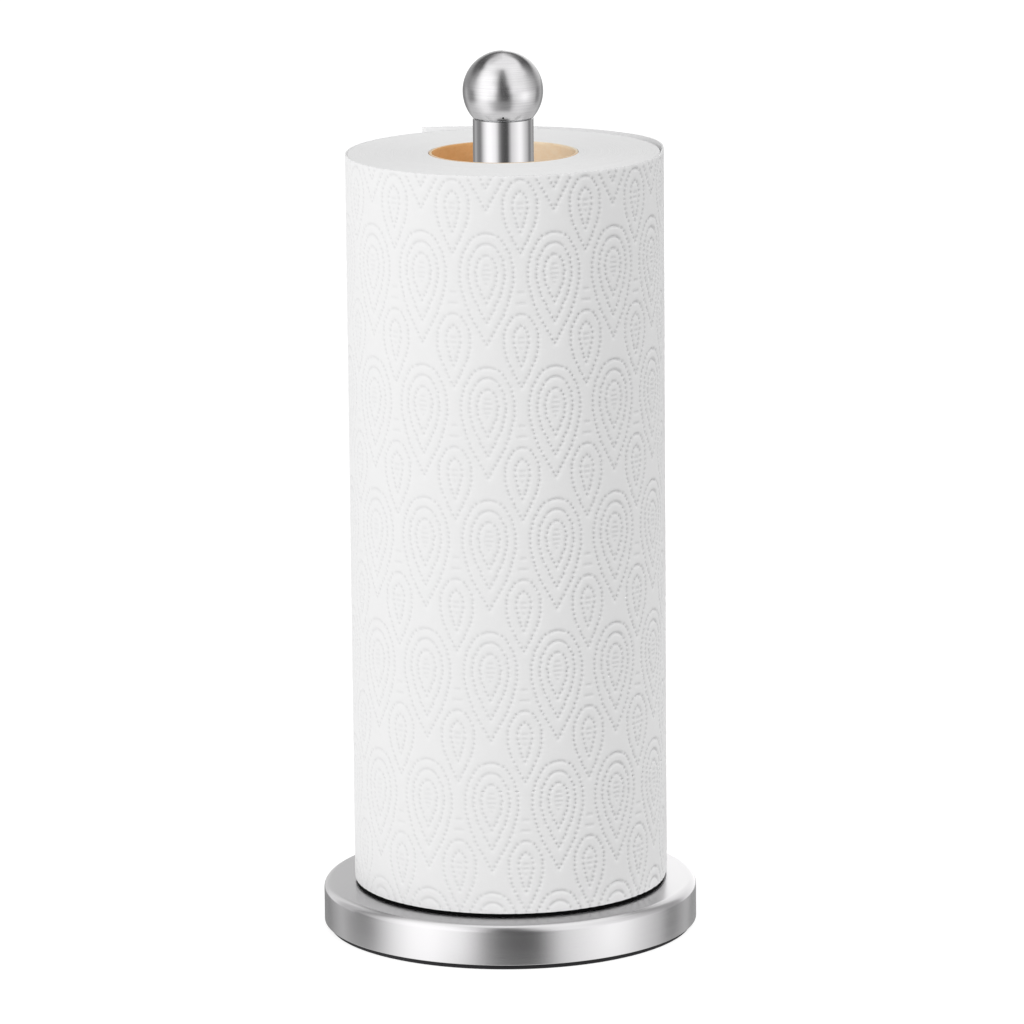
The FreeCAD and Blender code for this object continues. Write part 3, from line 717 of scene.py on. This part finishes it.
def core_mesh():
    """The core tube, with the helical butt seam of its inner ply pressed in as a fine groove."""
    theta = np.arange(CORE_COLUMNS) * 2 * np.pi / CORE_COLUMNS
    height = np.linspace(ROLL_LOW + CORE_BEVEL, ROLL_HIGH - CORE_BEVEL, CORE_ROWS)
    t, z = np.meshgrid(theta, height)
    off = (z / SEAM_LEAD - t / (2 * np.pi) + 0.5) % 1.0 - 0.5
    radius = CORE_INNER + SEAM_DEPTH * np.exp(-((off * SEAM_LEAD * math.cos(SEAM_LEAN) / SEAM_REACH) ** 2))
    rows = list(np.stack([radius * np.cos(t), radius * np.sin(t), z], -1))
    ring = np.stack([np.cos(theta), np.sin(theta)], -1)
    for r, level in (
        (CORE_INNER + CORE_BEVEL, ROLL_HIGH), (CORE_OUTER - CORE_BEVEL, ROLL_HIGH),
        (CORE_OUTER, ROLL_HIGH - CORE_BEVEL), (CORE_OUTER, ROLL_LOW + CORE_BEVEL),
        (CORE_OUTER - CORE_BEVEL, ROLL_LOW), (CORE_INNER + CORE_BEVEL, ROLL_LOW),
    ):
        rows.append(np.concatenate([ring * r, np.full((CORE_COLUMNS, 1), level)], 1))
    coords = np.concatenate(rows) * MM
    row, column = np.meshgrid(np.arange(len(rows)), np.arange(CORE_COLUMNS), indexing="ij")
    after_row, after_column = (row + 1) % len(rows), (column + 1) % CORE_COLUMNS
    faces = np.stack([
        row * CORE_COLUMNS + column, after_row * CORE_COLUMNS + column,
        after_row * CORE_COLUMNS + after_column, row * CORE_COLUMNS + after_column,
    ], -1).reshape(-1, 4)
    mesh = bpy.data.meshes.new("core_tube")
    mesh.from_pydata(coords.tolist(), [], faces.tolist())
    mesh.validate()
    model = bmesh.new()
    model.from_mesh(mesh)
    bmesh.ops.recalc_face_normals(model, faces=model.faces)
    model.to_mesh(mesh)
    model.free()
    return mesh


core_piece = finish_piece(
    "core_tube_wound", core_mesh(), "core", board, ["roll_core"], sharp=50)
core_piece.data.materials.append(board_cut)
for face in core_piece.data.polygons:
    if face.center.z > (ROLL_HIGH - CORE_BEVEL - 0.01) * MM:
        face.material_index = 1


# ---------------------------------------------------------------- the embossed outer sheet

# Angles are in degrees from +X toward +Y, and lengths in mm.
SHEET_INNER, SHEET_OUTER, SHEET_LEAST = 58.7, 59.5, 0.06
FREE_END, TUCKED_TURN = 115.6, 45.0
START = FREE_END - 360.0

# The loose end drifts off the roll, swings off it, and flares at its edge.
LIFT_OFF, SLACK = -80.0, 1.2
SWING_START, SWING_TURN, SWING = -6.0, 44.0, 5.3
FLARE_START, FLARE = 76.0, 6.4

# One cell of the pattern holds a big teardrop and, half a cell away, a small one.
CELL_TURN, CELL_RISE = 24.5, 50.0
CELL_COLUMNS, CELL_ROWS = 56, 110
CELL_WIDTH = math.radians(CELL_TURN) * SHEET_OUTER
FIRST_COLUMN_TURN, FIRST_ARCH_TOP = -96.4, 276.7
SHOULDER = 0.36
DOT_PITCH, DOT_DEPTH, DOT_SPREAD = 1.8, 0.46, 0.46
LINE_PITCH, ARCH_WEIGHT, DASH_WEIGHT = 0.3, 0.75, 0.45
QUILT_DEPTH, QUILT_SPREAD = 0.12, 1.3

# The relief is deepest at one place round the roll, and even over the half that faces away from it.
PRESS_LEAST, PRESS_SWING, PRESS_DEEPEST = 0.84, 1.0, math.radians(-22)

# Unevenness of the paper: its grain, long waves, and a thinner strip along its top and bottom edges.
GRAIN_DEPTH, WAVES, WAVE_DEPTH, WAVE_REACH = 0.012, 7, 0.006, 45.0
EDGE_DEPTH, EDGE_REACH = 0.12, 0.35

# Under the loose end the sheet is squeezed: its relief shrinks and it lies lower.
TUCK_SQUEEZE, TUCK_DROP, TUCK_INNER_DROP = 0.8, 0.44, 0.08

BAND_TOP = 66.0
BACK_COLUMN_STEP, BACK_ROW_STEP = 4, 8


def loose_offset(turn):
    """How far the sheet stands off the roll at each angle."""
    drift = np.clip((turn - LIFT_OFF) / (FREE_END - LIFT_OFF), 0, 1)
    rise = np.clip((turn - SWING_START) / SWING_TURN, 0, 1)
    curl = np.clip(turn - FLARE_START, 0, None) / (FREE_END - FLARE_START)
    return SLACK * drift ** 2 + SWING * rise ** 2 * (3 - 2 * rise) + FLARE * curl ** 3


def teardrop(width, height, samples=400):
    """An outline round above and pointed below, from its top centre down one side, as (x, drop) points."""
    shoulder = SHOULDER * height
    drop = np.concatenate([
        shoulder * (1 - np.cos(np.linspace(0, np.pi / 2, samples))),
        np.linspace(shoulder, height, samples)[1:],
    ])
    upper = np.sqrt(np.clip(1 - ((drop - shoulder) / shoulder) ** 2, 0, 1))
    lower = np.cos(np.pi / 2 * np.clip((drop - shoulder) / (height - shoulder), 0, 1))
    return np.stack([width / 2 * np.where(drop < shoulder, upper, lower), drop], -1)


def along_outline(path, start, stop, pitch):
    """Points at an even pitch between two lengths along a path."""
    reach = np.concatenate([[0], np.cumsum(np.hypot(*np.diff(path, axis=0).T))])
    stop = min(stop, reach[-1])
    count = max(2, int(round((stop - start) / pitch)) + 1)
    places = np.linspace(start, stop, count)
    return np.stack([np.interp(places, reach, path[:, 0]), np.interp(places, reach, path[:, 1])], -1)


def both_sides(points, top):
    """The points and their mirror images, moved down by top."""
    return np.concatenate([points, points * (-1, 1)]) + (0, top)


def drop_marks(top, width, height, solid):
    """Marks of one teardrop: a solid arch for the first length each way, then dots down to the tip."""
    path = teardrop(width, height)
    marks = []
    if solid > 0:
        marks.append((both_sides(along_outline(path, 0.0, solid, LINE_PITCH), top), ARCH_WEIGHT, False))
        solid += DOT_PITCH
    marks.append((both_sides(along_outline(path, solid, math.inf, DOT_PITCH), top), 1.0, True))
    return marks


def dash(drop, width):
    """The mark of one short level line."""
    count = max(1, int(round(width / LINE_PITCH)) + 1)
    points = np.stack([np.linspace(-width / 2, width / 2, count), np.full(count, drop)], -1)
    return [(points, DASH_WEIGHT, False)]


def cell_marks():
    """All marks of one cell as ((x, drop) points in mm from the big arch's top, weight, on the grid)."""
    big = [
        *drop_marks(0.0, 20.0, 41.4, 3.0),
        *drop_marks(3.9, 13.5, 29.3, 4.0),
        *drop_marks(8.3, 7.9, 17.4, 0.9),
        *dash(11.9, 1.2), *dash(13.7, 2.2), *dash(15.5, 2.4), *dash(17.1, 1.6), *dash(18.7, 0.0),
    ]
    small = [
        *dash(22.0, 1.7), *dash(26.1, 3.0),
        *drop_marks(30.15, 12.8, 27.2, 1.6),
        *drop_marks(34.35, 5.3, 15.3, 0.0),
        *dash(39.0, 1.4), *dash(40.8, 1.4), *dash(43.0, 0.0),
    ]
    return big + [(points + (CELL_WIDTH / 2, 0), weight, on_grid) for points, weight, on_grid in small]


def cell_relief():
    """The cell's pressed depth from 0 to 1 and its quilting from 0 to 1; row 0 is the big arch's top."""
    wide, tall = CELL_WIDTH / CELL_COLUMNS, CELL_RISE / CELL_ROWS
    x = (np.arange(CELL_COLUMNS) * wide)[None, :]
    y = (np.arange(CELL_ROWS) * tall)[:, None]
    press = np.zeros((CELL_ROWS, CELL_COLUMNS))
    quilt = np.zeros_like(press)
    for points, weight, on_grid in cell_marks():
        if on_grid:
            points = np.round(points / (wide, tall)) * (wide, tall)
        share = weight * (1.0 if on_grid or len(points) == 1 else LINE_PITCH / DOT_PITCH)
        for across, drop in points:
            dx = (x - across + CELL_WIDTH / 2) % CELL_WIDTH - CELL_WIDTH / 2
            dy = (y - drop + CELL_RISE / 2) % CELL_RISE - CELL_RISE / 2
            away = dx ** 2 + dy ** 2
            press = np.maximum(press, weight * np.exp(-away / DOT_SPREAD ** 2))
            quilt += share * np.exp(-away / QUILT_SPREAD ** 2)
    return press, np.clip(quilt / np.quantile(quilt, 0.98), 0, 1)


def sheet_grid():
    """The turn of each column and the height of each row, and which row and column of a cell each is."""
    step = CELL_TURN / CELL_COLUMNS
    first = math.floor((START - TUCKED_TURN - FIRST_COLUMN_TURN) / step)
    last = math.floor((FREE_END - FIRST_COLUMN_TURN) / step)
    column = np.arange(first, last + 1)
    turn = FIRST_COLUMN_TURN + column * step
    turn[-1] = FREE_END
    pitch = CELL_RISE / CELL_ROWS
    above = math.floor((ROLL_HIGH - FIRST_ARCH_TOP) / pitch)
    below = math.floor((FIRST_ARCH_TOP - ROLL_LOW) / pitch)
    row = np.arange(-above, below + 1)
    height = FIRST_ARCH_TOP - row * pitch
    height[0], height[-1] = ROLL_HIGH, ROLL_LOW
    return turn, height, (row[:, None] % CELL_ROWS, column[None, :] % CELL_COLUMNS)


def sheet_relief(turn, height, place):
    """The relief in mm and how hard the sheet is pressed, at each row and column."""
    press, quilt = (layer[place] for layer in cell_relief())
    angle = np.radians(turn)
    facing = np.clip(np.cos(angle - PRESS_DEEPEST), 0, 1)
    press = press * (PRESS_LEAST + PRESS_SWING * facing ** 2)[None, :]
    relief = -(DOT_DEPTH * press + QUILT_DEPTH * quilt)
    relief = relief - GRAIN_DEPTH * rng.random(relief.shape)
    waves = np.zeros(relief.shape)
    for _ in range(WAVES):
        round_count, up_count = rng.integers(2, 14), rng.uniform(-3, 3)
        phase = rng.uniform(0, 2 * np.pi)
        waves += np.sin(round_count * angle[None, :] + up_count * height[:, None] / WAVE_REACH + phase)
    relief = relief - WAVE_DEPTH * (waves - waves.min())
    edge = np.minimum(height - ROLL_LOW, ROLL_HIGH - height)[:, None]
    relief = relief - EDGE_DEPTH * np.exp(-edge / EDGE_REACH)
    return np.clip(relief, SHEET_INNER - SHEET_OUTER + SHEET_LEAST, 0), press


def grid_faces(at, rows, columns, flip=False):
    """Quads between neighbouring rows and columns of a grid whose point numbers at(row, column) gives."""
    r, c = np.meshgrid(np.arange(rows - 1), np.arange(columns - 1), indexing="ij")
    corners = [at(r, c), at(r + 1, c), at(r + 1, c + 1), at(r, c + 1)]
    return np.stack(corners[::-1] if flip else corners, -1).reshape(-1, 4).tolist()


def sheet_band(name, turn, height, relief, press):
    """A band of the outer sheet: its start is tucked under the loose end, its outer face has the relief."""
    columns, rows = len(turn), len(height)
    angle = np.radians(turn)
    tuck = np.clip((START - turn) / TUCKED_TURN, 0, 1)
    off = loose_offset(turn)
    outer = SHEET_OUTER + off[None, :] + relief * (1 - TUCK_SQUEEZE * tuck) - TUCK_DROP * tuck[None, :]
    inner = SHEET_INNER + off - TUCK_INNER_DROP * tuck
    level = np.broadcast_to(height[:, None], outer.shape)
    front = np.stack([outer * np.cos(angle), outer * np.sin(angle), level], -1).reshape(-1, 3)

    kept_columns = sorted({*range(0, columns, BACK_COLUMN_STEP), columns - 1})
    kept_rows = sorted({*range(0, rows, BACK_ROW_STEP), rows - 1})
    across, level = np.meshgrid(kept_columns, height[kept_rows])
    back = np.stack([
        inner[across] * np.cos(angle[across]), inner[across] * np.sin(angle[across]), level,
    ], -1).reshape(-1, 3)

    def front_at(row, column):
        return row * columns + column

    def back_at(row, column):
        return rows * columns + row * len(kept_columns) + column

    faces = grid_faces(front_at, rows, columns)
    faces += grid_faces(back_at, len(kept_rows), len(kept_columns), flip=True)
    last_row, last_column = len(kept_rows) - 1, len(kept_columns) - 1
    for a, (left, right) in enumerate(zip(kept_columns, kept_columns[1:])):
        between = list(range(left, right + 1))
        top = [front_at(0, k) for k in between]
        foot = [front_at(rows - 1, k) for k in between[::-1]]
        faces.append([back_at(0, a + 1), back_at(0, a)] + top)
        faces.append([back_at(last_row, a), back_at(last_row, a + 1)] + foot)
    for a, (high, low) in enumerate(zip(kept_rows, kept_rows[1:])):
        between = list(range(high, low + 1))
        start = [front_at(k, 0) for k in between[::-1]]
        end = [front_at(k, columns - 1) for k in between]
        faces.append([back_at(a, 0), back_at(a + 1, 0)] + start)
        faces.append([back_at(a + 1, last_column), back_at(a, last_column)] + end)
    mesh = bpy.data.meshes.new(name)
    mesh.from_pydata((np.concatenate([front, back]) * MM).tolist(), [], faces)
    mesh.update()
    # The pressed attribute also sets the painted shade in the pits of the tissue material.
    pressed = mesh.attributes.new("pressed", "FLOAT", "POINT")
    depths = np.concatenate([press.ravel(), np.zeros(len(back))])
    pressed.data.foreach_set("value", depths.astype(np.float32))
    return finish_piece(name, mesh, "paper", tissue, ["outer_sheet"], sharp=70)


sheet_turn, sheet_height, sheet_place = sheet_grid()
sheet_marks, sheet_press = sheet_relief(sheet_turn, sheet_height, sheet_place)
split = int(np.argmin(np.abs(sheet_height - BAND_TOP)))
upper, lower = slice(0, split + 1), slice(split, None)
upper_sheet = sheet_band(
    "embossed_sheet", sheet_turn, sheet_height[upper], sheet_marks[upper], sheet_press[upper])
sheet_band("embossed_sheet_foot", sheet_turn, sheet_height[lower], sheet_marks[lower], sheet_press[lower])


# ---------------------------------------------------------------- kept nodes

IN_THE_POST = ("top_insert", "finial_stud", "ball_boss")
UNDER_THE_POST = ("foot_insert", "post_bolt", "bolt_washer", "bolt_lock_washer")


def repaint(node_name, material):
    """Gives a CAD node another material."""
    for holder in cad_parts[node_name].material_slots:
        holder.material = material


repaint("base_weight", iron)
for node_name in UNDER_THE_POST + IN_THE_POST:
    repaint(node_name, zinc)


# ---------------------------------------------------------------- what each ray sees

# The steel mirrors only the foot of the roll.
for piece in (upper_sheet, wound_piece, core_piece):
    piece.visible_glossy = False

# The post and what is in it don't shade the roll's bore.
for piece in (post_piece, ball_piece, *(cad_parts[node_name] for node_name in IN_THE_POST)):
    piece.visible_diffuse = False
    piece.visible_shadow = False
